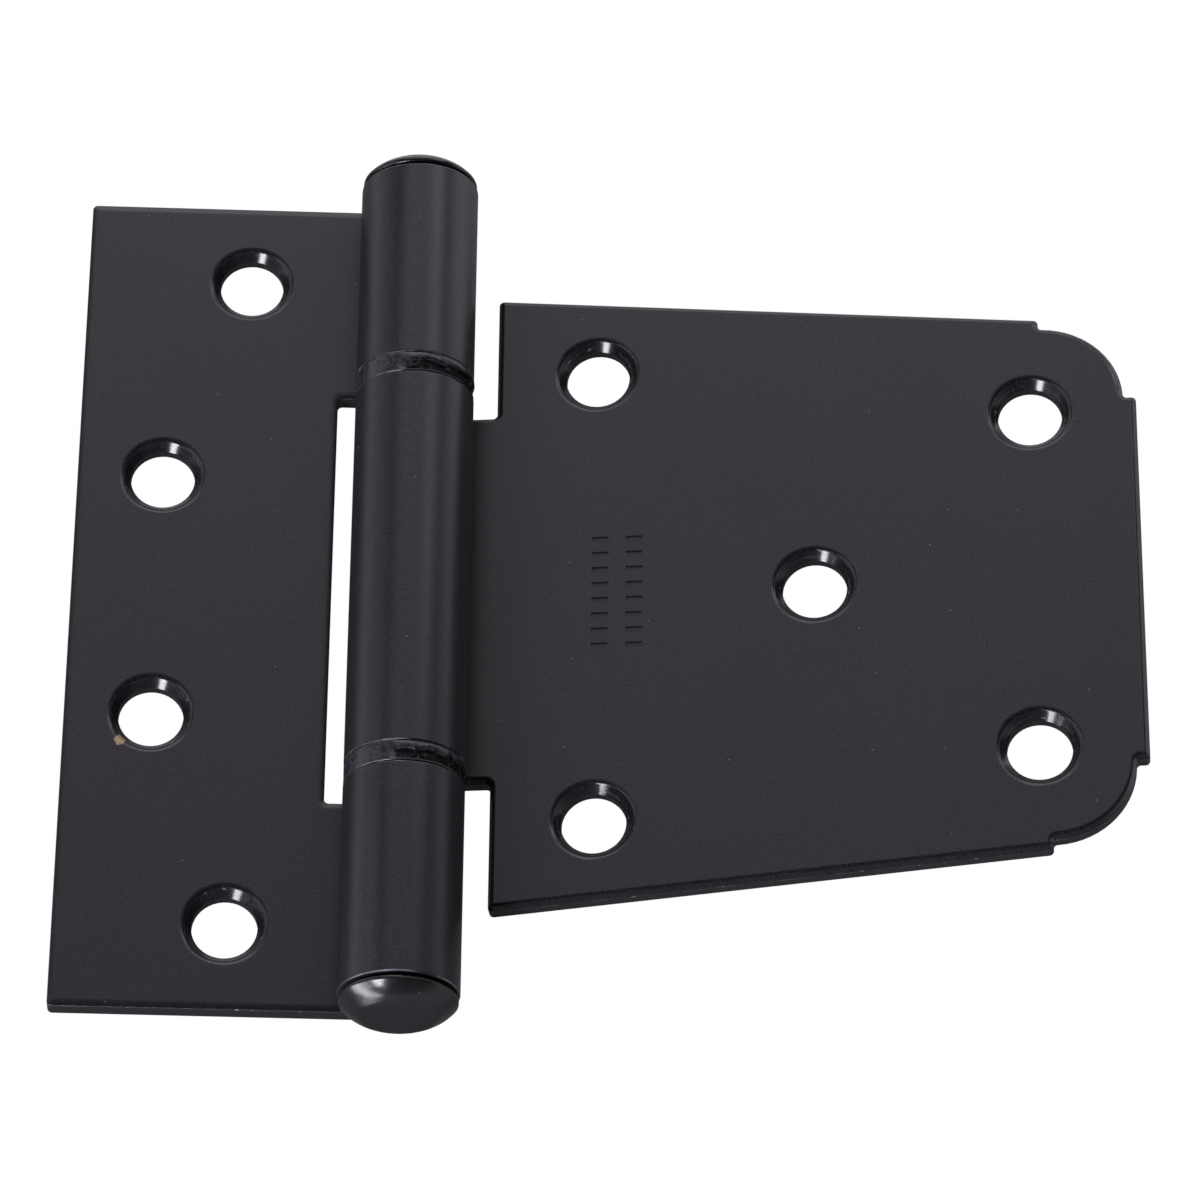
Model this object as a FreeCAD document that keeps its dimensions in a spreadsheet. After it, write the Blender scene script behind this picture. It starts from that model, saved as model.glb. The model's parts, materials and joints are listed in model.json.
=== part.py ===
"""A gate T hinge: a rectangular post leaf and a wide tapered gate leaf on one riveted pin.

Row frame, in millimetres: +X from the pin towards the gate leaf, +Y along the pin, +Z out of
the front of the post leaf. The origin lies in the post leaf's back plane, straight under the
pin axis and half way along it. Both leaves are stamped from one sheet. Their eyes are rolled
forwards, so each back plane is tangent to the barrel and only the front stands proud.
"""
import FreeCAD, Part
import math
import os

import Sketcher
from FreeCAD import Placement, Rotation, Vector

DIMENSIONS = {
    # sheet, eyes and pin
    "sheet_thickness": 2.5,
    "pin_diameter": 9.525,
    "running_clearance": 0.05,
    "seam_gap": 0.1,
    # stamping rolls the front edges over, a little on the post leaf and deeply on the gate leaf
    "post_roll_over_width": 0.5,
    "post_roll_over_drop": 0.18,
    "post_roll_over_radius": 2.2,
    "post_shear_lip_radius": 0.12,
    "gate_roll_over_width": 0.54,
    "gate_roll_over_drop": 0.75,
    "gate_roll_over_radius": 0.6,
    "gate_shear_lip_radius": 0.12,
    "corner_radius": 0.6,
    "shoulder_corner_radius": 0.6,
    "shoulder_root_radius": 0.5,
    "burr_side_radius": 0.25,
    # post leaf
    "post_leaf_width": 41.4,
    "post_leaf_height": 111.0,
    "slot_reach": 9.6,
    "slot_height": 56.2,
    "outer_hole_reach": 20.9,
    "outer_hole_spacing": 88.9,
    "inner_hole_reach": 30.9,
    "inner_hole_spacing": 33.0,
    # gate leaf, measured along its own plane
    "gate_leaf_length": 88.9,
    "gate_root_reach": 9.7,
    "gate_root_height": 84.8,
    "shoulder_reach": 77.1,
    "shoulder_height": 73.0,
    "shoulder_step": 1.3,
    "gate_end_height": 50.0,
    "neck_height": 50.8,
    "near_hole_reach": 22.2,
    "near_hole_spacing": 61.7,
    "middle_hole_reach": 49.0,
    "far_hole_reach": 75.8,
    "far_hole_spacing": 46.0,
    "rest_fold_angle": 7.48,
    # screw holes
    "screw_hole_diameter": 7.9,
    "countersink_diameter": 10.1,
    "countersink_angle": 82.0,
    "countersink_lip_radius": 0.8,
    # two columns of stamped tally marks
    "mark_reach": 21.8,
    "mark_column_gap": 4.2,
    "mark_length": 2.0,
    "mark_width": 0.7,
    "mark_depth": 0.2,
    "mark_pitch": 2.1,
    "mark_count": 8,
    # thrust washers between the eyes
    "washer_diameter": 14.8,
    "washer_end_play": 0.1,
    "washer_edge_radius": 0.25,
    # button heads on the pin
    "head_gap": 0.35,
    "head_diameter": 14.3,
    "head_rim": 0.55,
    "head_height": 2.4,
    "head_face_diameter": 9.4,
    "head_flank_radius": 6.5,
    "head_edge_radius": 0.2,
    "head_underside_radius": 0.35,
    "tail_diameter": 7.0,
    "tail_length": 1.6,
}

DERIVED = {
    "bore_radius": "=pin_diameter / 2 + running_clearance",
    "barrel_radius": "=bore_radius + sheet_thickness",
    "seam_height": "=sheet_thickness + seam_gap",
    "seam_reach": "=sqrt(barrel_radius ^ 2 - (barrel_radius - seam_height) ^ 2)",
    "seam_inner_reach": "=seam_reach * bore_radius / barrel_radius",
    "seam_inner_height": "=barrel_radius"
    " - (barrel_radius - seam_height) * bore_radius / barrel_radius",
    "post_half_height": "=post_leaf_height / 2",
    "slot_half_height": "=slot_height / 2",
    "slot_open_reach": "=2 * barrel_radius",
    "outer_hole_offset": "=outer_hole_spacing / 2",
    "inner_hole_offset": "=inner_hole_spacing / 2",
    "screw_hole_radius": "=screw_hole_diameter / 2",
    "neck_half_height": "=neck_height / 2",
    "root_half_height": "=gate_root_height / 2",
    "shoulder_half_height": "=shoulder_height / 2",
    "shoulder_inner_height": "=shoulder_half_height - shoulder_step",
    "end_half_height": "=gate_end_height / 2",
    "end_corner_reach": "=shoulder_reach + shoulder_inner_height - end_half_height",
    "near_hole_offset": "=near_hole_spacing / 2",
    "far_hole_offset": "=far_hole_spacing / 2",
    "mark_end_reach": "=mark_reach + mark_length",
    "mark_start": "=-mark_pitch * (mark_count - 1) / 2 - mark_width / 2",
    "mark_end": "=mark_start + mark_width",
    "second_mark_reach": "=mark_reach + mark_column_gap",
    "second_mark_end_reach": "=second_mark_reach + mark_length",
    "mark_column_length": "=mark_pitch * (mark_count - 1)",
    "washer_radius": "=washer_diameter / 2",
    "washer_near": "=neck_half_height + washer_end_play",
    "washer_far": "=slot_half_height - washer_end_play",
    "pin_radius": "=pin_diameter / 2",
    "head_underside": "=post_half_height + head_gap",
    "head_rim_end": "=head_underside + head_rim",
    "head_face": "=head_underside + head_height",
    "head_radius": "=head_diameter / 2",
    "head_face_radius": "=head_face_diameter / 2",
    "head_chord": "=sqrt((head_radius - head_face_radius) ^ 2 + (head_face - head_rim_end) ^ 2)",
    "flank_leg_ratio": "=sqrt(head_flank_radius ^ 2 - (head_chord / 2) ^ 2) / head_chord",
    "flank_centre_reach": "=(head_radius + head_face_radius) / 2"
    " - (head_face - head_rim_end) * flank_leg_ratio",
    "flank_centre_height": "=(head_rim_end + head_face) / 2"
    " - (head_radius - head_face_radius) * flank_leg_ratio",
    "tail_radius": "=tail_diameter / 2",
    "tail_end": "=head_underside + tail_length",
}

# how near two lengths are when they count as the same
TOLERANCE = 1e-3

# the numbers that Sketcher gives a sketch's axes and the points of an edge
H_AXIS = -1
V_AXIS = -2
START = 1
END = 2
CENTRE = 3


def make_sheet(doc):
    """The spreadsheet of driving dimensions, followed by those worked out from them."""
    sheet = doc.addObject("Spreadsheet::Sheet", "dims")
    cells = {**{alias: str(value) for alias, value in DIMENSIONS.items()}, **DERIVED}
    for row, alias in enumerate(cells, start=1):
        sheet.set(f"A{row}", alias)
        sheet.setAlias(f"B{row}", alias)
    for row, content in enumerate(cells.values(), start=1):
        sheet.set(f"B{row}", content)
    doc.recompute()
    return sheet


def size(sheet, term):
    """The number behind a term such as "neck_height", "-slot_reach" or "0"."""
    name = term.lstrip("-")
    value = 0.0 if name == "0" else float(sheet.get(name))
    return -value if term.startswith("-") else value


def bound(term):
    """The expression behind a term: the sheet's cell, with its sign."""
    return term.replace(term.lstrip("-"), "dims." + term.lstrip("-"))


def make_body(doc, label):
    body = doc.addObject("PartDesign::Body", label)
    body.Label = label
    return body


def make_sketch(body, role, name, height=None):
    """A sketch on one of the body's own origin planes, raised by a sheet cell if asked."""
    sketch = body.newObject("Sketcher::SketchObject", name)
    plane = next(f for f in body.Origin.OriginFeatures if f.Role == role)
    sketch.AttachmentSupport = [(plane, "")]
    sketch.MapMode = "FlatFace"
    if height:
        sketch.setExpression("AttachmentOffset.Base.z", "dims." + height)
    return sketch


def pin_point(sketch, geometry, position, terms):
    """Fixes a sketch point at the place that two sheet terms give."""
    for kind, axis, term in zip(("DistanceX", "DistanceY"), (V_AXIS, H_AXIS), terms):
        if term is None:
            continue
        if term == "0":
            sketch.addConstraint(Sketcher.Constraint("PointOnObject", geometry, position, axis))
            continue
        value = size(sketch.Document.dims, term)
        constraint = Sketcher.Constraint(kind, H_AXIS, START, geometry, position, value)
        index = sketch.addConstraint(constraint)
        sketch.setExpression(f"Constraints[{index}]", bound(term))


def add_outline(sketch, corners, arcs=None):
    """A closed outline through corners, each a pair of sheet terms.

    arcs maps the number of a corner to (centre terms, turn) where the edge that leaves the
    corner is an arc about that centre, turning anticlockwise (1) or clockwise (-1).
    """
    sheet = sketch.Document.dims
    arcs = arcs or {}
    points = [Vector(size(sheet, x), size(sheet, y), 0) for x, y in corners]
    ends = []
    for i, start in enumerate(points):
        end = points[(i + 1) % len(points)]
        if i not in arcs:
            ends.append((sketch.addGeometry(Part.LineSegment(start, end), False), START, END))
            continue
        (x, y), turn = arcs[i]
        centre = Vector(size(sheet, x), size(sheet, y), 0)
        first, last = (start, end) if turn > 0 else (end, start)
        angles = [math.atan2(p.y - centre.y, p.x - centre.x) for p in (first, last)]
        circle = Part.Circle(centre, Vector(0, 0, 1), (start - centre).Length)
        arc = sketch.addGeometry(Part.ArcOfCircle(circle, *angles), False)
        ends.append((arc, START, END) if turn > 0 else (arc, END, START))
        pin_point(sketch, arc, CENTRE, (x, None))
    for i, (edge, start, _) in enumerate(ends):
        previous, _, end = ends[i - 1]
        sketch.addConstraint(Sketcher.Constraint("Coincident", previous, end, edge, start))
        x, y = corners[i]
        if x == y == "0":
            sketch.addConstraint(Sketcher.Constraint("Coincident", edge, start, H_AXIS, START))
        else:
            pin_point(sketch, edge, start, (x, y))


def add_circle(sketch, centre, radius):
    """A circle about a centre given by two sheet terms."""
    sheet = sketch.Document.dims
    middle = Vector(size(sheet, centre[0]), size(sheet, centre[1]), 0)
    circle = Part.Circle(middle, Vector(0, 0, 1), size(sheet, radius))
    index = sketch.addGeometry(circle, False)
    if centre == ("0", "0"):
        sketch.addConstraint(Sketcher.Constraint("Coincident", index, CENTRE, H_AXIS, START))
    else:
        pin_point(sketch, index, CENTRE, centre)
    limit = sketch.addConstraint(Sketcher.Constraint("Radius", index, size(sheet, radius)))
    sketch.setExpression(f"Constraints[{limit}]", bound(radius))


def add_feature(body, kind, name, sketch=None, **expressions):
    """A PartDesign feature whose named sizes follow the sheet."""
    feature = body.newObject("PartDesign::" + kind, name)
    if sketch:
        feature.Profile = sketch
        sketch.Visibility = False
    for prop, term in expressions.items():
        feature.setExpression(prop, bound(term))
    return feature


def pad_midplane(body, name, sketch, length):
    pad = add_feature(body, "Pad", name, sketch, Length=length)
    pad.Midplane = True
    body.Document.recompute()
    return pad


def pocket_through(body, name, sketch):
    """Cuts a sketch's outline right through the body, both ways from its plane."""
    before = body.Tip.Shape.Volume
    pocket = add_feature(body, "Pocket", name, sketch)
    pocket.Type = "ThroughAll"
    pocket.Midplane = True
    body.Document.recompute()
    assert pocket.Shape.Volume < before - 1, f"{name} cuts nothing"
    return pocket


def edges_where(shape, test):
    return [f"Edge{i}" for i, edge in enumerate(shape.Edges, start=1) if test(edge)]


def dress(body, kind, name, test, **expressions):
    """A fillet or chamfer on those edges of the tip that pass a test."""
    base = body.Tip
    feature = body.newObject("PartDesign::" + kind, name)
    feature.Base = (base, edges_where(base.Shape, test))
    for prop, term in expressions.items():
        feature.setExpression(prop, bound(term))
    return feature


def flat_at(edge, height):
    """Does the whole edge lie at this height?"""
    box = edge.BoundBox
    return abs(box.ZMin - height) < TOLERANCE and abs(box.ZMax - height) < TOLERANCE


def roll_front_edges(body, leaf, is_outline):
    """The rolled-over front edge of a stamping: a bevel, blended into the face."""
    sheet = body.Document.dims
    front = float(sheet.get("sheet_thickness"))
    bevel = dress(
        body, "Chamfer", "RollOver", lambda edge: flat_at(edge, front) and is_outline(edge),
        Size=leaf + "_roll_over_drop", Size2=leaf + "_roll_over_width",
    )
    bevel.ChamferType = "Two distances"
    body.Document.recompute()
    dress(
        body, "Fillet", "RollOverBlend", lambda edge: flat_at(edge, front) and is_outline(edge),
        Radius=leaf + "_roll_over_radius",
    )
    body.Document.recompute()
    shear_line = front - float(sheet.get(leaf + "_roll_over_drop"))
    dress(
        body, "Fillet", "ShearLip", lambda edge: flat_at(edge, shear_line),
        Radius=leaf + "_shear_lip_radius",
    )
    body.Document.recompute()
    dress(
        body, "Fillet", "BurrSide", lambda edge: flat_at(edge, 0) and is_outline(edge),
        Radius="burr_side_radius",
    )
    body.Document.recompute()


def drill_screw_holes(body, centres):
    """Countersunk screw holes, sunk from the front and softened at the mouth."""
    sheet = body.Document.dims
    front = float(sheet.get("sheet_thickness"))
    sketch = make_sketch(body, "XY_Plane", "HoleCentres", height="sheet_thickness")
    for centre in centres:
        add_circle(sketch, centre, "screw_hole_radius")
    body.Document.recompute()
    hole = body.newObject("PartDesign::Hole", "ScrewHoles")
    hole.Profile = sketch
    sketch.Visibility = False
    hole.DepthType = "ThroughAll"
    hole.ThreadType = "None"
    hole.HoleCutType = "Countersink"
    hole.HoleCutCustomValues = True
    for prop, term in (
        ("Diameter", "screw_hole_diameter"),
        ("HoleCutDiameter", "countersink_diameter"),
        ("HoleCutCountersinkAngle", "countersink_angle"),
    ):
        hole.setExpression(prop, bound(term))
    body.Document.recompute()
    radius = float(sheet.get("countersink_diameter")) / 2
    dress(
        body, "Fillet", "CountersinkLips",
        lambda edge: flat_at(edge, front) and is_circle(edge, radius),
        Radius="countersink_lip_radius",
    )
    body.Document.recompute()


def is_circle(edge, radius):
    """A closed edge as long as a whole circle of this radius."""
    return edge.isClosed() and abs(edge.Length - 2 * math.pi * radius) < TOLERANCE


def stands_at(edge, x, half_height):
    """Is this an edge through the sheet at x, on either side of the middle of the leaf?"""
    box = edge.BoundBox
    upright = max(box.XLength, box.YLength) < TOLERANCE < box.ZLength
    side = abs(abs(box.YMin) - half_height)
    return upright and abs(box.XMin - x) < TOLERANCE and side < TOLERANCE


def round_corners(body, name, radius, corners):
    """Rounds the vertical edges at these pairs of sheet terms, above and below the middle."""
    sheet = body.Document.dims
    places = [(size(sheet, x), size(sheet, y)) for x, y in corners]
    dress(
        body, "Fillet", name, lambda edge: any(stands_at(edge, x, y) for x, y in places),
        Radius=radius,
    )
    body.Document.recompute()


def off_bore_line(edge):
    """Leaves out the seam where the flat front meets the bore of the rolled eye."""
    box = edge.BoundBox
    return box.XLength > TOLERANCE or abs(box.XMin) > TOLERANCE


def make_post_leaf(doc):
    """The rectangular leaf with an eye at each end of its pin side and a slot between them."""
    body = make_body(doc, "post_leaf")
    profile = make_sketch(body, "XZ_Plane", "RolledProfile")
    middle = ("0", "barrel_radius")
    corners = [
        ("-post_leaf_width", "0"),
        ("0", "0"),
        ("-seam_reach", "seam_height"),
        ("-seam_inner_reach", "seam_inner_height"),
        ("0", "sheet_thickness"),
        ("-post_leaf_width", "sheet_thickness"),
    ]
    add_outline(profile, corners, arcs={1: (middle, 1), 3: (middle, -1)})
    pad_midplane(body, "RolledSheet", profile, "post_leaf_height")
    slot = make_sketch(body, "XY_Plane", "SlotOutline")
    add_outline(slot, [
        ("-slot_reach", "-slot_half_height"),
        ("slot_open_reach", "-slot_half_height"),
        ("slot_open_reach", "slot_half_height"),
        ("-slot_reach", "slot_half_height"),
    ])
    pocket_through(body, "Slot", slot)
    round_corners(body, "Corners", "corner_radius", [
        ("-post_leaf_width", "post_half_height"),
        ("-slot_reach", "slot_half_height"),
    ])
    roll_front_edges(body, "post", off_bore_line)
    drill_screw_holes(body, [
        (reach, side + offset)
        for reach, offset in (
            ("-outer_hole_reach", "outer_hole_offset"),
            ("-inner_hole_reach", "inner_hole_offset"),
        )
        for side in ("", "-")
    ])
    return body


def make_gate_leaf(doc):
    """The tapered leaf on a narrower neck, with one eye, swung up by the rest fold angle."""
    body = make_body(doc, "gate_leaf")
    outline = make_sketch(body, "XY_Plane", "LeafOutline")
    upper = [
        ("0", "neck_half_height"),
        ("gate_root_reach", "neck_half_height"),
        ("gate_root_reach", "root_half_height"),
        ("shoulder_reach", "shoulder_half_height"),
        ("shoulder_reach", "shoulder_inner_height"),
        ("end_corner_reach", "end_half_height"),
        ("gate_leaf_length", "end_half_height"),
    ]
    lower = [(x, "-" + y) for x, y in reversed(upper)]
    arcs = {
        4: (("shoulder_reach", "end_half_height"), -1),
        8: (("shoulder_reach", "-end_half_height"), -1),
    }
    add_outline(outline, upper + lower, arcs)
    add_feature(body, "Pad", "Plate", outline, Length="sheet_thickness")
    doc.recompute()
    profile = make_sketch(body, "XZ_Plane", "EyeProfile")
    middle = ("0", "barrel_radius")
    corners = [
        ("0", "0"),
        ("seam_reach", "seam_height"),
        ("seam_inner_reach", "seam_inner_height"),
        ("0", "sheet_thickness"),
    ]
    add_outline(profile, corners, arcs={0: (middle, -1), 2: (middle, 1)})
    pad_midplane(body, "Eye", profile, "neck_height")
    round_corners(body, "Corners", "corner_radius", [
        ("gate_root_reach", "neck_half_height"),
        ("gate_root_reach", "root_half_height"),
        ("gate_leaf_length", "end_half_height"),
    ])
    round_corners(body, "ShoulderCorners", "shoulder_corner_radius", [
        ("shoulder_reach", "shoulder_half_height"),
    ])
    round_corners(body, "ShoulderRoots", "shoulder_root_radius", [
        ("shoulder_reach", "shoulder_inner_height"),
        ("end_corner_reach", "end_half_height"),
    ])
    roll_front_edges(body, "gate", off_bore_line)
    drill_screw_holes(body, [
        ("near_hole_reach", "near_hole_offset"),
        ("near_hole_reach", "-near_hole_offset"),
        ("middle_hole_reach", "0"),
        ("far_hole_reach", "far_hole_offset"),
        ("far_hole_reach", "-far_hole_offset"),
    ])
    stamp_tally_marks(body)
    swing_to_rest(body)
    return body


def stamp_tally_marks(body):
    """Two columns of short plain dashes, pressed into the front of the leaf."""
    sketch = make_sketch(body, "XY_Plane", "FirstMarks", height="sheet_thickness")
    for near, far in (
        ("mark_reach", "mark_end_reach"),
        ("second_mark_reach", "second_mark_end_reach"),
    ):
        add_outline(sketch, [
            (near, "mark_start"), (far, "mark_start"), (far, "mark_end"), (near, "mark_end"),
        ])
    before = body.Tip.Shape.Volume
    first = add_feature(body, "Pocket", "FirstMarkPair", sketch, Length="mark_depth")
    body.Document.recompute()
    assert first.Shape.Volume < before, "the tally marks cut nothing"
    column = body.newObject("PartDesign::LinearPattern", "MarkColumn")
    column.Originals = [first]
    column.Direction = (sketch, ["V_Axis"])
    column.setExpression("Length", "dims.mark_column_length")
    column.setExpression("Occurrences", "dims.mark_count")
    body.Tip = column
    body.Document.recompute()


def swing_to_rest(body):
    """Turns a body about the pin axis, its far edge upwards, by the rest fold angle."""
    body.Placement = Placement(Vector(), Rotation(Vector(0, -1, 0), 1))
    angle = "dims.rest_fold_angle * 1deg"
    body.setExpression("Placement.Rotation.Angle", angle)
    body.setExpression("Placement.Base.x", f"dims.barrel_radius * sin({angle})")
    body.setExpression("Placement.Base.z", f"dims.barrel_radius * (1 - cos({angle}))")


def turn_about_pin(doc, label, corners, arcs=None):
    """A body turned about the pin axis from a half outline of (radius, place along Y)."""
    body = make_body(doc, label)
    body.setExpression("Placement.Base.z", "dims.barrel_radius")
    sketch = make_sketch(body, "XY_Plane", "HalfOutline")
    add_outline(sketch, corners, arcs)
    turned = add_feature(body, "Revolution", "Turned", sketch)
    turned.ReferenceAxis = (sketch, ["V_Axis"])
    turned.Angle = 360
    doc.recompute()
    return body


def soften_rims(body, name, rims, edge_radius):
    """Rounds the circular edges given as (radius, distance along the pin), at either end."""
    sheet = body.Document.dims
    sizes = [(float(sheet.get(radius)), float(sheet.get(along))) for radius, along in rims]
    dress(
        body, "Fillet", name,
        lambda edge: any(
            is_circle(edge, radius) and abs(abs(edge.BoundBox.YMin) - along) < TOLERANCE
            for radius, along in sizes
        ),
        Radius=edge_radius,
    )
    body.Document.recompute()


def soften_head(body):
    """Rounds a button head where it meets the eye, and less round its flank and face."""
    soften_rims(body, "SoftUnderside", [("head_radius", "head_underside")],
                "head_underside_radius")
    rims = [("head_radius", "head_rim_end"), ("head_face_radius", "head_face")]
    soften_rims(body, "SoftRims", rims, "head_edge_radius")


def make_hinge_pin(doc):
    """The shank with its lower button head and the reduced tail that takes the cap."""
    flank = ("flank_centre_reach", "-flank_centre_height")
    body = turn_about_pin(doc, "hinge_pin", [
        ("0", "-head_face"),
        ("head_face_radius", "-head_face"),
        ("head_radius", "-head_rim_end"),
        ("head_radius", "-head_underside"),
        ("pin_radius", "-head_underside"),
        ("pin_radius", "head_underside"),
        ("tail_radius", "head_underside"),
        ("tail_radius", "tail_end"),
        ("0", "tail_end"),
    ], arcs={1: (flank, 1)})
    soften_head(body)
    return body


def make_pin_cap(doc):
    """The upper button, with a blind bore pressed on to the pin's tail."""
    flank = ("flank_centre_reach", "flank_centre_height")
    body = turn_about_pin(doc, "pin_cap", [
        ("0", "tail_end"),
        ("tail_radius", "tail_end"),
        ("tail_radius", "head_underside"),
        ("head_radius", "head_underside"),
        ("head_radius", "head_rim_end"),
        ("head_face_radius", "head_face"),
        ("0", "head_face"),
    ], arcs={4: (flank, 1)})
    soften_head(body)
    return body


def make_washer(doc, label, side):
    """A thrust washer between two eyes, above (side "") or below (side "-") the gate's eye."""
    body = turn_about_pin(doc, label, [
        ("bore_radius", side + "washer_near"),
        ("washer_radius", side + "washer_near"),
        ("washer_radius", side + "washer_far"),
        ("bore_radius", side + "washer_far"),
    ])
    rims = [("washer_radius", "washer_near"), ("washer_radius", "washer_far")]
    soften_rims(body, "SoftRims", rims, "washer_edge_radius")
    return body


def check(doc, parts):
    """Stops if any object failed to build or any part isn't one valid solid."""
    doc.recompute()
    for item in doc.Objects:
        if {"Invalid", "Error"} & set(item.State):
            raise RuntimeError(f"{item.Name} failed: {item.State}")
    for part in parts:
        shape = part.Shape
        if shape.isNull() or not shape.isValid() or len(shape.Solids) != 1:
            raise RuntimeError(f"{part.Label} is not one valid solid")


def main():
    doc = FreeCAD.newDocument("t_hinge")
    make_sheet(doc)
    parts = [
        make_post_leaf(doc),
        make_gate_leaf(doc),
        make_hinge_pin(doc),
        make_pin_cap(doc),
        make_washer(doc, "upper_washer", ""),
        make_washer(doc, "lower_washer", "-"),
    ]
    check(doc, parts)
    os.makedirs("parts", exist_ok=True)
    for part in parts:
        part.Shape.exportStep(f"parts/{part.Label}.step")
        box = part.Shape.BoundBox
        print(part.Label, round(part.Shape.Volume), "mm3", [round(n, 2) for n in (
            box.XMin, box.XMax, box.YMin, box.YMax, box.ZMin, box.ZMax)])


main()
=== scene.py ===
"""The looks of a black gate T hinge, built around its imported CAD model.

Everything is in metres in the row frame: +X from the pin towards the gate leaf, +Y along the
pin and +Z out of the front of the post leaf. Materials measure in millimetres of that frame.
"""

import json
import math

import bmesh
import bpy
from mathutils import Euler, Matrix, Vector, noise


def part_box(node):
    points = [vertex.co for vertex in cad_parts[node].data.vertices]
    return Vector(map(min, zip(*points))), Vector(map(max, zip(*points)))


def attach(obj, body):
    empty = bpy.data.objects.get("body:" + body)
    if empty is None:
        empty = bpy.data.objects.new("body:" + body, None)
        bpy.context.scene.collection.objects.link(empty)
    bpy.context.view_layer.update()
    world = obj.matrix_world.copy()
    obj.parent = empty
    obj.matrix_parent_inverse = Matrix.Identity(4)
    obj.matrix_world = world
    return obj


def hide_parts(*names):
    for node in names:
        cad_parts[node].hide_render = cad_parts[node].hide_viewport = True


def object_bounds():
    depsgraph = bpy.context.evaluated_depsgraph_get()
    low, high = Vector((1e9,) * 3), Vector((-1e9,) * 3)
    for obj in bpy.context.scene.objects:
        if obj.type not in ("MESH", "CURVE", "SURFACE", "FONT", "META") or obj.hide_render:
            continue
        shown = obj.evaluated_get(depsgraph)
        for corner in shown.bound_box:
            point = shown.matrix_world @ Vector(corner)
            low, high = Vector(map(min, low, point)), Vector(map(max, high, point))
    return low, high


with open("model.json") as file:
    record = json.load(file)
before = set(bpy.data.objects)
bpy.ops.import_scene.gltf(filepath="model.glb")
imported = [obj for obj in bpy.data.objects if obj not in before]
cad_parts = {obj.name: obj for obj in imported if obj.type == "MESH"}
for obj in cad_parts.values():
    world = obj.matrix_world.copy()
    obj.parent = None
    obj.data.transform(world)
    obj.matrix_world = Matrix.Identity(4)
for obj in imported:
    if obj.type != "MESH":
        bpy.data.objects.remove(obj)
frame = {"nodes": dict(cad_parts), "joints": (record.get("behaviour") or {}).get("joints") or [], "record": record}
cad_low, cad_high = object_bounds()

MM = 0.001
MOUNTS = {mount["name"]: mount for mount in frame["record"]["mounts"]}
JOINTS = {joint["name"]: joint for joint in frame["joints"]}

# places on the hinge, from the frame
PIN = Vector(JOINTS["gate_swing"]["pos_m"])
GATE_BACK = Vector(MOUNTS["gate_leaf_back"]["axis"])
FOLD = math.atan2(GATE_BACK.x, -GATE_BACK.z)
BARREL_RADIUS = PIN.z
BODIES = {"upper_washer": "upper_ring", "lower_washer": "lower_ring"}
MIDDLE = (cad_low + cad_high) / 2

# the sheet's thickness and how far its front edges are rolled over, in millimetres
THICKNESS = 2.5
POST_DROP = 0.18
GATE_DROP = 0.75

# the camera turns about X, then leans about its own Y, then rolls; it stands this far right of,
# above and behind the row's origin, measured along its own axes
CAMERA_TURN = [math.radians(28.283), math.radians(-1.699), math.radians(1.492)]
CAMERA_OFFSET = Vector((0.02345, 0.00102, 0.71286))
CAMERA_LENS = 174.07
CAMERA_SENSOR = 36.0


def make_camera():
    data = bpy.data.cameras.new("camera")
    data.lens = CAMERA_LENS
    data.sensor_width = CAMERA_SENSOR
    data.clip_start = 0.01
    data.clip_end = 20.0
    camera = bpy.data.objects.new("camera", data)
    camera.rotation_mode = "ZYX"
    camera.rotation_euler = CAMERA_TURN
    camera.location = Euler(CAMERA_TURN, "ZYX").to_matrix() @ CAMERA_OFFSET
    bpy.context.scene.collection.objects.link(camera)
    bpy.context.scene.camera = camera


def direction(azimuth, elevation):
    """A unit vector to the place a viewer stands at: azimuth 0 is the -Y side, 90 is +X."""
    a, e = math.radians(azimuth), math.radians(elevation)
    return Vector((math.sin(a) * math.cos(e), -math.cos(a) * math.cos(e), math.sin(e)))


def make_light(name, place, turn, width, height, radiance, shape="RECTANGLE"):
    """A flat light with a set surface brightness."""
    data = bpy.data.lights.new(name, "AREA")
    data.shape = shape
    data.size = width
    data.size_y = height
    data.energy = radiance * math.pi * width * height
    data.color = TINT
    light = bpy.data.objects.new(name, data)
    light.location = place
    light.rotation_euler = turn
    light.visible_camera = False
    bpy.context.scene.collection.objects.link(light)


# soft lights, all at one distance: azimuth and elevation in degrees, width and height in
# metres, and brightness
SOFTBOX_DISTANCE = 1.2
SOFTBOXES = {
    "back_high": (186, 63, 1.20, 0.55, 0.65),
    "back_middle": (184, 41, 0.85, 0.30, 2.9),
    "back_low": (190, 26, 0.90, 0.26, 2.0),
    "back_right": (143, 38, 0.30, 0.50, 3.0),
    "back_right_low": (132, 10, 0.40, 0.40, 0.8),
    "left_high": (270, 37, 1.00, 0.36, 1.4),
    "front_left": (316, 4, 0.40, 0.16, 8.0),
    "front_key": (331, 22, 0.28, 0.38, 24.0),
}
TINT = (0.94, 0.91, 1.0)

# the room's own light, which is dimmer towards -Y and fades out overhead; each span is a part
# of a unit view vector
AMBIENT = 0.85
FRONT_AMBIENT = 0.25
FRONT_SPAN = (-0.7, 0.1)
OVERHEAD_SPAN = (0.1, 0.6)

FLOOR_REACH = 6.0
FLOOR_GLOW = 0.38
FLOOR_GREY = (0.14, 0.14, 0.14, 1)
FLOOR_ROUGHNESS = 0.12

# the floor is dimmer in two boxes, and close to them: one about the post leaf and the pin, and
# one about the gate leaf without its eye. Each is a middle and half a size, with no limit in
# height. Then come the margins where the floor starts and ends brightening, and the dim glow.
SHADED = [((-0.0170, 0, 0), (0.0245, 0.0590, 1)), ((0.0480, 0, 0), (0.0410, 0.0430, 1))]
SHADE_START = 0.005
SHADE_END = 0.020
SHADED_GLOW = 0.10

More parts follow.
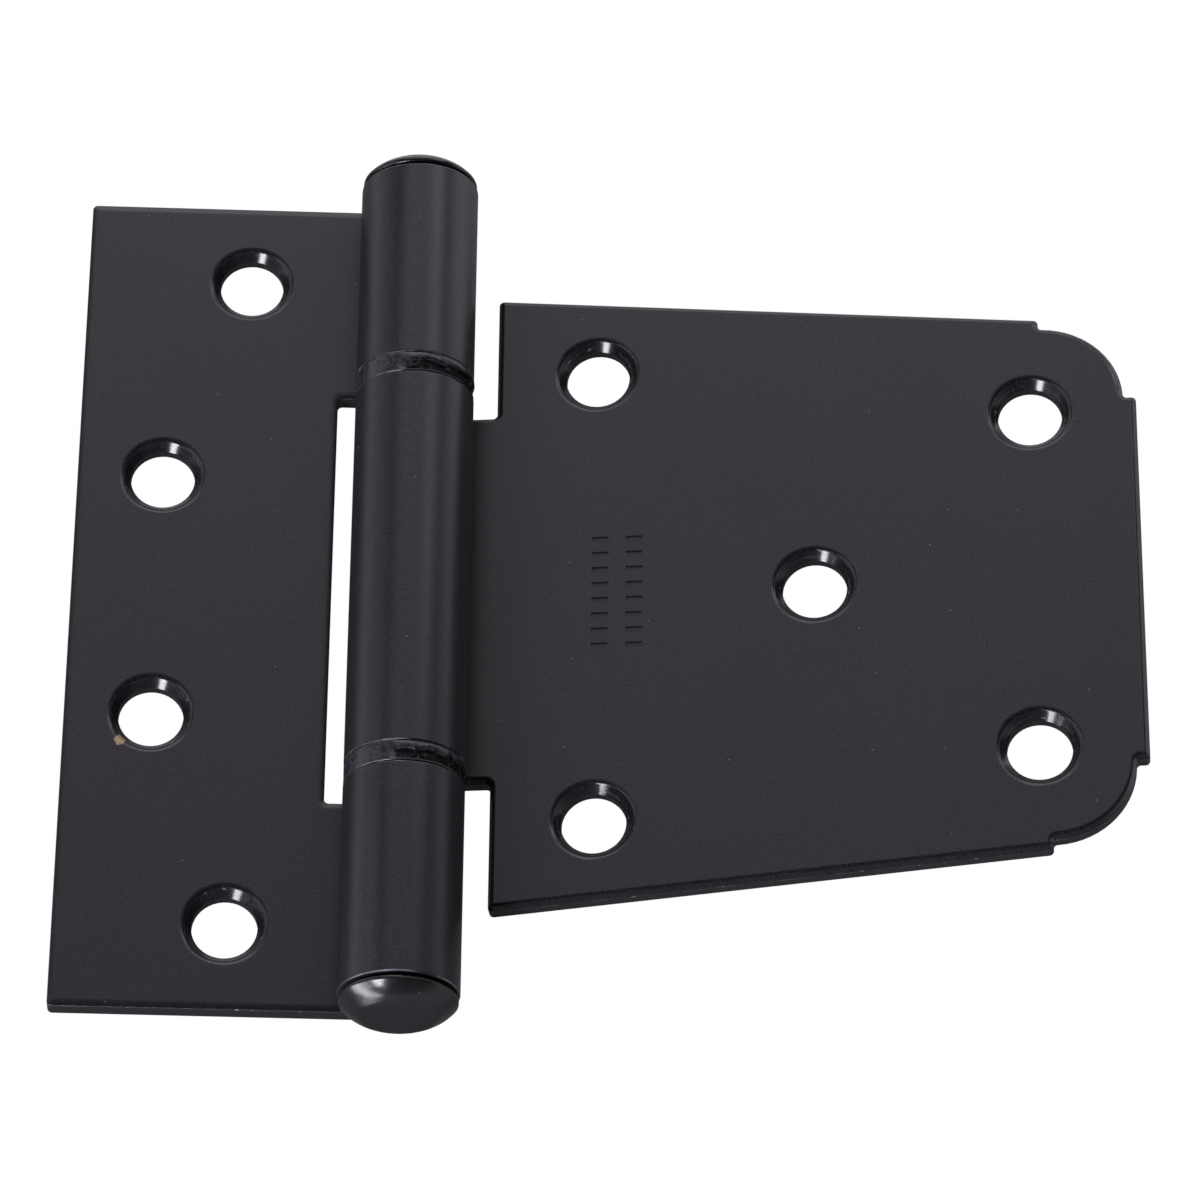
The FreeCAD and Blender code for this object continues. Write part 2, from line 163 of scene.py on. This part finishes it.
# a bright oval card lying on the floor off the lower end of the pin: its middle, how far it is
# turned in degrees, its size and its brightness
CARD_MIDDLE = (-0.128, -0.179)
CARD_TURN = 43
CARD_SIZE = (0.270, 0.120)
CARD_RADIANCE = 8.0


def make_lights():
    for name, (azimuth, elevation, width, height, radiance) in SOFTBOXES.items():
        away = direction(azimuth, elevation)
        turn = away.to_track_quat("Z", "Y").to_euler()
        make_light(name, MIDDLE + away * SOFTBOX_DISTANCE, turn, width, height, radiance)
    place = (*CARD_MIDDLE, cad_low.z + MM)
    turn = (math.pi, 0, math.radians(CARD_TURN))
    make_light("floor_card", place, turn, *CARD_SIZE, CARD_RADIANCE, shape="ELLIPSE")


class Nodes:
    """Adds nodes to one material or world, its owner. An input given as a socket is linked,
    else it is set."""

    def __init__(self, owner):
        self.owner = owner
        self.owner.use_nodes = True
        self.tree = self.owner.node_tree
        self.tree.nodes.clear()

    def add(self, kind, inputs=(), **settings):
        node = self.tree.nodes.new("ShaderNode" + kind)
        for key, value in settings.items():
            setattr(node, key, value)
        for key, value in dict(inputs).items():
            if isinstance(value, bpy.types.NodeSocket):
                self.tree.links.new(value, node.inputs[key])
            else:
                node.inputs[key].default_value = value
        return node

    def math(self, operation, *terms):
        return self.add("Math", enumerate(terms), operation=operation).outputs[0]

    def vector(self, operation, *terms):
        return self.add("VectorMath", enumerate(terms), operation=operation).outputs[0]

    def length(self, vector):
        return self.add("VectorMath", {0: vector}, operation="LENGTH").outputs["Value"]

    def straight(self, value, start, end, low, high):
        """value, run straight from low at start to high at end, and level outside them."""
        inputs = {"Value": value, 1: start, 2: end, 3: low, 4: high}
        return self.add("MapRange", inputs).outputs[0]

    def ramp(self, value, start, end, low=0.0, high=1.0):
        """value, eased from low at start to high at end, and level outside them."""
        inputs = {"Value": value, 1: start, 2: end, 3: low, 4: high}
        return self.add("MapRange", inputs, interpolation_type="SMOOTHSTEP").outputs[0]

    def noise(self, place, scale, detail=2.0, rough=0.5):
        inputs = {"Vector": place, "Scale": scale, "Detail": detail, "Roughness": rough}
        return self.add("TexNoise", inputs).outputs[0]

    def mix(self, share, first, second):
        inputs = {0: share, 6: first, 7: second}
        return self.add("Mix", inputs, data_type="RGBA").outputs[2]

    def blend(self, share, first, second):
        inputs = {0: share, 2: first, 3: second}
        return self.add("Mix", inputs, data_type="FLOAT").outputs[0]

    def split(self, vector):
        return self.add("SeparateXYZ", {0: vector}).outputs

    def stretch(self, place, x, y, z):
        inputs = {0: place, "Scale": (x, y, z)}
        return self.add("Mapping", inputs).outputs[0]

    def place(self, fold=0.0):
        """Millimetres in the part's own frame, turned back by fold about the pin axis."""
        source = self.add("TexCoord").outputs
        metres = self.stretch(source["Object"], 1 / MM, 1 / MM, 1 / MM)
        normal = source["Normal"]
        if not fold:
            return metres, normal
        turned = []
        for vector, centre in ((metres, PIN / MM), (normal, Vector())):
            inputs = {"Vector": vector, "Center": centre, "Angle": fold}
            node = self.add("VectorRotate", inputs, rotation_type="Y_AXIS")
            turned.append(node.outputs[0])
        return turned

    def bump(self, height, distance, strength=1.0, normal=None):
        inputs = {"Strength": strength, "Distance": distance, "Height": height}
        if normal:
            inputs["Normal"] = normal
        return self.add("Bump", inputs).outputs[0]

    def finish(self, **inputs):
        """The surface shader, whose inputs are named with _ for a space."""
        named = {key.replace("_", " "): value for key, value in inputs.items()}
        surface = self.add("BsdfPrincipled", named).outputs[0]
        self.add("OutputMaterial", {"Surface": surface})
        return self.owner


COAT = (0.0182, 0.0158, 0.0186, 1.0)
COAT_DEEP = (0.0155, 0.0135, 0.0162, 1.0)
COAT_DUSTY = (0.027, 0.024, 0.027, 1.0)
BARE_STEEL = (0.55, 0.54, 0.52, 1.0)
BARE_SCALE = (0.50, 0.34, 0.19, 1.0)
SPECK = (0.28, 0.27, 0.26, 1.0)
# the lip's lighter colour is partly wear and partly a painted highlight along the edge
WORN_LIP_AND_HIGHLIGHT = (0.085, 0.080, 0.078, 1.0)
# a painted highlight on the rims of the rolled eyes
PAINTED_RIM_HIGHLIGHT = (0.19, 0.185, 0.21, 1.0)
PIN_DEEP = (0.0075, 0.0070, 0.0080, 1.0)
PIN_COAT = (0.0120, 0.0108, 0.0125, 1.0)
# a lighter coat, partly a painted sheen on the washers' raised shoulder
RUN_COAT_AND_SHEEN = (0.044, 0.041, 0.050, 1.0)
# painted shade in the hollow of the coated washers
PAINTED_HOLLOW_SHADE = (0.0035, 0.0035, 0.004, 1.0)
GRIT = (0.10, 0.098, 0.105, 1.0)

# the bare chip by a post leaf hole: how far it is from the hole's middle, in millimetres
CHIP_OFFSET = (-3.55, -3.75)


def add_specks(nodes, place, spacing, radius, share):
    """A mask of tiny grit specks, one in some of a pattern of uneven cells. spacing is the
    cells' mean size, and share the part of them that has a speck."""
    flat = nodes.stretch(place, 1 / spacing, 1 / spacing, 0)
    cells = nodes.add(
        "TexVoronoi", {"Vector": flat, "Scale": 1.0}, voronoi_dimensions="2D"
    ).outputs
    chosen = nodes.math("LESS_THAN", nodes.split(cells["Color"])[0], share)
    spot = nodes.ramp(cells["Distance"], 0.5 * radius / spacing, radius / spacing, 1.0, 0.0)
    return nodes.math("MULTIPLY", spot, chosen)


def make_leaf_coating(name, thickness, drop, fold=0.0, chip=None):
    """Satin black coating on a leaf: smooth faces, glossier where the steel was formed, and
    rough where it was sheared. thickness is the sheet's, drop how far its front edges were
    rolled over, and chip a place on the face."""
    nodes = Nodes(bpy.data.materials.new(name))
    place, normal = nodes.place(fold)
    x, _, z = nodes.split(place)
    _, facing_y, facing_z = nodes.split(normal)
    upright = nodes.math("ABSOLUTE", facing_z)
    lengthwise = nodes.math("ABSOLUTE", facing_y)
    beyond = nodes.math("ABSOLUTE", x)
    on_sheet = nodes.ramp(beyond, BARREL_RADIUS / MM + 0.1, BARREL_RADIUS / MM + 0.5)

    # where the surface was sheared, and where it was pressed into a slope
    side = nodes.math("MULTIPLY", on_sheet, nodes.ramp(upright, 0.18, 0.42, 1.0, 0.0))
    sheared = nodes.math("MAXIMUM", side, nodes.ramp(lengthwise, 0.80, 0.95))
    steep = nodes.ramp(upright, 0.90, 0.985, 1.0, 0.0)
    formed = nodes.math("MULTIPLY", nodes.math("MULTIPLY", steep, on_sheet),
                        nodes.ramp(upright, 0.36, 0.46))
    sunk = nodes.math("MULTIPLY", nodes.math("MULTIPLY", on_sheet, nodes.ramp(z, 1.0, 1.2)),
                      nodes.ramp(upright, 0.74, 0.68))
    flat = nodes.math("SUBTRACT", 1.0, sunk)

    # colour: cloudy coating, a little dust, lighter sheared faces
    clouds = nodes.noise(place, 0.045, 3.0)
    mottle = nodes.noise(place, 0.9, 3.0, 0.6)
    colour = nodes.mix(nodes.ramp(clouds, 0.30, 0.70), COAT_DEEP, COAT)
    dust = nodes.math("MULTIPLY", nodes.ramp(mottle, 0.45, 0.85), 0.35)
    colour = nodes.mix(dust, colour, COAT_DUSTY)
    fine = nodes.ramp(nodes.noise(place, 3.6, 2.0, 0.6), 0.35, 0.65, 0.60, 1.40)
    shade = nodes.add("CombineXYZ", {0: fine, 1: fine, 2: fine}).outputs[0]
    colour = nodes.add("Mix", {0: 1.0, 6: colour, 7: shade}, data_type="RGBA",
                       blend_type="MULTIPLY").outputs[2]
    torn = nodes.noise(nodes.stretch(place, 3.0, 3.0, 0.7), 1.0, 4.0, 0.7)
    torn_share = nodes.math("MULTIPLY", sheared, nodes.ramp(torn, 0.35, 0.75, 0.1, 0.6))
    colour = nodes.mix(torn_share, colour, COAT_DUSTY)

    # the lip between the rolled edge and the sheared face is lighter in patches: partly wear, and partly a painted
    # highlight along the edge
    crest = thickness - drop
    lip = nodes.math("MULTIPLY", nodes.ramp(z, crest - 0.30, crest - 0.18),
                     nodes.ramp(z, crest - 0.04, crest + 0.04, 1.0, 0.0))
    lip = nodes.math("MULTIPLY", lip, nodes.math("MULTIPLY", on_sheet,
                                                 nodes.ramp(upright, 0.60, 0.85, 1.0, 0.0)))
    patches = nodes.noise(nodes.stretch(place, 0.25, 0.25, 0.1), 1.0, 4.0, 0.7)
    lip_wear_and_highlight = nodes.math("MULTIPLY", lip, nodes.ramp(patches, 0.45, 0.70, 0.05, 0.8))
    colour = nodes.mix(lip_wear_and_highlight, colour, WORN_LIP_AND_HIGHLIGHT)
    nick = nodes.noise(nodes.stretch(place, 1.6, 1.6, 1.0), 1.0, 1.0)
    bare = nodes.math("MULTIPLY", lip, nodes.ramp(nick, 0.68, 0.72))
    colour = nodes.mix(bare, colour, BARE_STEEL)

    # the rims of the rolled eyes are painted lighter in patches: a painted highlight where they catch the light
    rim = nodes.math("MULTIPLY", nodes.ramp(lengthwise, 0.15, 0.45),
                     nodes.ramp(lengthwise, 0.80, 0.95, 1.0, 0.0))
    rim = nodes.math("MULTIPLY", rim, nodes.ramp(beyond, BARREL_RADIUS / MM - 0.1,
                                                 BARREL_RADIUS / MM + 0.1, 1.0, 0.0))
    rim_highlight = nodes.math("MULTIPLY", rim, nodes.ramp(patches, 0.46, 0.62))
    colour = nodes.mix(rim_highlight, colour, PAINTED_RIM_HIGHLIGHT)

    specks = add_specks(nodes, place, 9.0, 0.09, 0.30)
    colour = nodes.mix(nodes.math("MULTIPLY", specks, flat), colour, SPECK)
    if chip is not None:
        shape = nodes.vector("SUBTRACT", place, chip)
        shape = nodes.stretch(shape, 0.9, 0.8, 0.5)
        away = nodes.length(shape)
        ragged = nodes.math("ADD", away, nodes.ramp(nodes.noise(place, 3.0), 0, 1, -0.3, 0.3))
        chipped = nodes.ramp(ragged, 0.50, 0.60, 1.0, 0.0)
        colour = nodes.mix(chipped, colour, BARE_SCALE)

    # gloss
    rough = nodes.ramp(nodes.noise(place, 0.12, 4.0), 0.3, 0.7, 0.33, 0.35)
    rough = nodes.blend(formed, rough, 0.22)
    rough = nodes.blend(sunk, rough, 0.16)
    rough = nodes.blend(sheared, rough, 0.42)

    # relief: orange peel, fine grain, and the tear marks of the shear
    peel = nodes.bump(nodes.noise(place, 0.7, 2.0), 5e-6)
    grain = nodes.bump(nodes.noise(place, 3.0, 2.0), 4.0e-6, flat, normal=peel)
    tears = nodes.math("MULTIPLY", torn, sheared)
    relief = nodes.bump(tears, 3e-5, normal=grain)
    return nodes.finish(Base_Color=colour, Roughness=rough, Metallic=bare, Normal=relief)


def make_pin_coating():
    """Glossier black coating on the turned pin and its cap, with a little grit in it."""
    nodes = Nodes(bpy.data.materials.new("pin_coating"))
    place, _ = nodes.place()
    clouds = nodes.noise(place, 0.25, 3.0)
    colour = nodes.mix(nodes.ramp(clouds, 0.3, 0.7), PIN_DEEP, PIN_COAT)
    side_on = nodes.add("CombineXYZ", {0: nodes.split(place)[0], 1: nodes.split(place)[2]})
    specks = add_specks(nodes, side_on.outputs[0], 2.2, 0.06, 0.25)
    colour = nodes.mix(specks, colour, SPECK)
    rough = nodes.ramp(nodes.noise(place, 0.6, 3.0), 0.3, 0.7, 0.17, 0.24)
    peel = nodes.bump(nodes.noise(place, 0.55, 2.0), 6e-6)
    grain = nodes.bump(nodes.noise(place, 4.0, 2.0), 1.0e-6, normal=peel)
    return nodes.finish(Base_Color=colour, Roughness=rough, Normal=grain)


def make_washer_coating():
    """Rough black coating that has run and dried in the joints beside the washers. It is pitted
    where it stays below the barrels, and painted dark there as painted shade in the hollow. It is
    satin where it stands as high, with a lighter coat that is partly a painted sheen."""
    nodes = Nodes(bpy.data.materials.new("washer_coating"))
    place, _ = nodes.place()
    spoke = nodes.vector("SUBTRACT", place, PIN / MM)
    spoke = nodes.stretch(spoke, 1, 0, 1)
    reach = nodes.length(spoke)
    lumps = nodes.noise(place, 1.6, 4.0, 0.6)
    pits = nodes.noise(place, 4.5, 3.0, 0.6)
    radius = BARREL_RADIUS / MM
    deep = nodes.ramp(reach, radius - 0.26, radius - 0.12, 1.0, 0.0)
    # the lighter coat is partly a painted sheen on the raised shoulder
    colour = nodes.mix(nodes.ramp(lumps, 0.35, 0.7), COAT_DEEP, RUN_COAT_AND_SHEEN)
    # the hollow below the barrels is painted dark: painted shade
    colour = nodes.mix(deep, colour, PAINTED_HOLLOW_SHADE)
    grit = nodes.math("MULTIPLY", deep, nodes.ramp(pits, 0.70, 0.76))
    colour = nodes.mix(grit, colour, GRIT)
    rough = nodes.ramp(lumps, 0.35, 0.75, 0.24, 0.38)
    rough = nodes.blend(deep, rough, 0.5)
    relief = nodes.bump(lumps, 3e-5)
    grain = nodes.bump(pits, 1.5e-5, normal=relief)
    shine = nodes.blend(deep, 0.5, 0.08)
    return nodes.finish(Base_Color=colour, Roughness=rough, Specular_IOR_Level=shine,
                        Normal=grain)


# the steps of a coated ring's mesh, and how far each ring's pattern is moved along the pin, in
# millimetres
STEPS_AROUND = 540
STEPS_ACROSS = 18
RING_SHIFTS = {"upper_washer": 0, "lower_washer": 40}


def eased(value, start, end):
    """0 before start, 1 after end and smooth between them, in either order."""
    share = min(max((value - start) / (end - start), 0.0), 1.0)
    return share * share * (3 - 2 * share)


def ring_radius(angle, across, place, outer):
    """How far from the pin axis a washer's coated rim stands, in metres.

    angle is 0 at the front and positive towards the gate, and across runs from 0 to 1 over the
    rim. The coating has filled the joint on the post side. Elsewhere it bulges along the upper
    edge of the washer, above a pitted hollow.
    """
    lumps = noise.fractal(place * 1.3, 1.0, 2.0, 4)
    grit = noise.noise(place * 5.0)
    foot = eased(across, 0.0, 0.10)
    head = eased(across, 1.0, 0.86)
    radius = outer - (0.22 - 0.10 * foot - 0.10 * head - 0.03 * lumps) * MM
    top = 0.60 + 0.16 * noise.noise(place * 0.45)
    hollow = eased(across, top + 0.10, top - 0.08) * eased(across, 0.02, 0.12)
    radius -= hollow * (0.36 - 0.10 * lumps - 0.08 * grit) * MM
    filled = eased(angle, -3, -18) * eased(angle, -178, -120)
    flush = BARREL_RADIUS - (0.03 - 0.02 * lumps) * MM
    radius += (flush - radius) * filled
    return min(radius, outer)


def make_ring(node, shift):
    """A washer with the coating that has run into the joint, as one lumpy closed ring. shift
    moves the lumps' pattern along the pin, so that the two rings differ."""
    low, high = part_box(node)
    outer = high.z - PIN.z
    cad = frame["nodes"][node].data.vertices
    inner = min(math.hypot(v.co.x - PIN.x, v.co.z - PIN.z) for v in cad)
    mesh = bmesh.new()
    rows = []
    for i in range(STEPS_AROUND):
        angle = 360 * i / STEPS_AROUND - 180
        spoke = Vector((math.sin(math.radians(angle)), 0, math.cos(math.radians(angle))))
        rim = []
        for j in range(STEPS_ACROSS + 1):
            across = j / STEPS_ACROSS
            along = low.y + (high.y - low.y) * across
            place = spoke * (outer / MM) + Vector((0, along / MM + shift, 0))
            rim.append((ring_radius(angle, across, place, outer), along))
        section = [(inner, low.y), *rim, (inner, high.y)]
        rows.append([
            mesh.verts.new(Vector((PIN.x, along, PIN.z)) + spoke * radius)
            for radius, along in section
        ])
    for i, row in enumerate(rows):
        following = rows[(i + 1) % STEPS_AROUND]
        for j in range(len(row)):
            k = (j + 1) % len(row)
            mesh.faces.new((row[j], row[k], following[k], following[j]))
    bmesh.ops.recalc_face_normals(mesh, faces=mesh.faces)
    for face in mesh.faces:
        face.smooth = True
    data = bpy.data.meshes.new(node + "_coated")
    mesh.to_mesh(data)
    mesh.free()
    ring = bpy.data.objects.new(node + "_coated", data)
    bpy.context.scene.collection.objects.link(ring)
    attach(ring, BODIES[node])
    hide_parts(node)
    return ring


def make_floor():
    """A grey glossy floor that the hinge reflects. It glows, and less so near the leaves. The
    camera sees the white studio through it, so that a leaf swung below it still shows."""
    nodes = Nodes(bpy.data.materials.new("floor"))
    place = nodes.add("TexCoord").outputs["Object"]
    glow = FLOOR_GLOW
    for middle, half in SHADED:
        offset = nodes.vector("ABSOLUTE", nodes.vector("SUBTRACT", place, middle))
        beyond = nodes.vector("MAXIMUM", nodes.vector("SUBTRACT", offset, half), (0, 0, 0))
        gap = nodes.length(beyond)
        lit = nodes.ramp(gap, SHADE_START, SHADE_END, SHADED_GLOW, FLOOR_GLOW)
        glow = nodes.math("MINIMUM", glow, lit)
    inputs = {"Base Color": FLOOR_GREY, "Roughness": FLOOR_ROUGHNESS,
              "Emission Color": (*TINT, 1), "Emission Strength": glow}
    sheet = nodes.add("BsdfPrincipled", inputs).outputs[0]
    nodes.add("OutputMaterial", {"Surface": sheet})
    mesh = bpy.data.meshes.new("floor")
    corners = [(FLOOR_REACH * x, FLOOR_REACH * y, 0)
               for x, y in ((-1, -1), (1, -1), (1, 1), (-1, 1))]
    mesh.from_pydata(corners, [], [(0, 1, 2, 3)])
    mesh.materials.append(nodes.owner)
    floor = bpy.data.objects.new("floor", mesh)
    floor.location.z = cad_low.z
    floor.visible_camera = False
    bpy.context.scene.collection.objects.link(floor)


def make_world():
    """White to the camera. In reflections it is pale near the horizon, dimmer towards -Y and
    dark overhead."""
    nodes = Nodes(bpy.data.worlds.new("studio"))
    _, depth, height = nodes.split(nodes.add("TexCoord").outputs["Generated"])
    near = nodes.straight(depth, *FRONT_SPAN, FRONT_AMBIENT, AMBIENT)
    glow = nodes.straight(height, *OVERHEAD_SPAN, near, 0.0)
    room = nodes.add("Background", {"Color": (*TINT, 1), "Strength": glow}).outputs[0]
    white = nodes.add("Background", {"Color": (1, 1, 1, 1), "Strength": 1.0}).outputs[0]
    to_camera = nodes.add("LightPath").outputs["Is Camera Ray"]
    surface = nodes.add("MixShader", {0: to_camera, 1: room, 2: white}).outputs[0]
    nodes.add("OutputWorld", {0: surface})
    bpy.context.scene.world = nodes.owner


def paint(node, material):
    node.data.materials.clear()
    node.data.materials.append(material)


def main():
    scene = bpy.context.scene
    scene.view_settings.view_transform = "Standard"
    make_camera()
    make_lights()
    make_world()
    make_floor()
    nodes = frame["nodes"]
    screws = MOUNTS["post_inner_screws"]
    hole = Vector(screws["pos_m"]) / MM
    hole.y -= screws["dims"]["spacing_y_mm"] / 2
    chip = (hole.x + CHIP_OFFSET[0], hole.y + CHIP_OFFSET[1], THICKNESS)
    post = make_leaf_coating("post_leaf_coating", THICKNESS, POST_DROP, chip=chip)
    gate = make_leaf_coating("gate_leaf_coating", THICKNESS, GATE_DROP, fold=FOLD)
    paint(nodes["post_leaf"], post)
    paint(nodes["gate_leaf"], gate)
    pin_coating = make_pin_coating()
    paint(nodes["hinge_pin"], pin_coating)
    paint(nodes["pin_cap"], pin_coating)
    washer_coating = make_washer_coating()
    for node, shift in RING_SHIFTS.items():
        paint(make_ring(node, shift), washer_coating)


main()
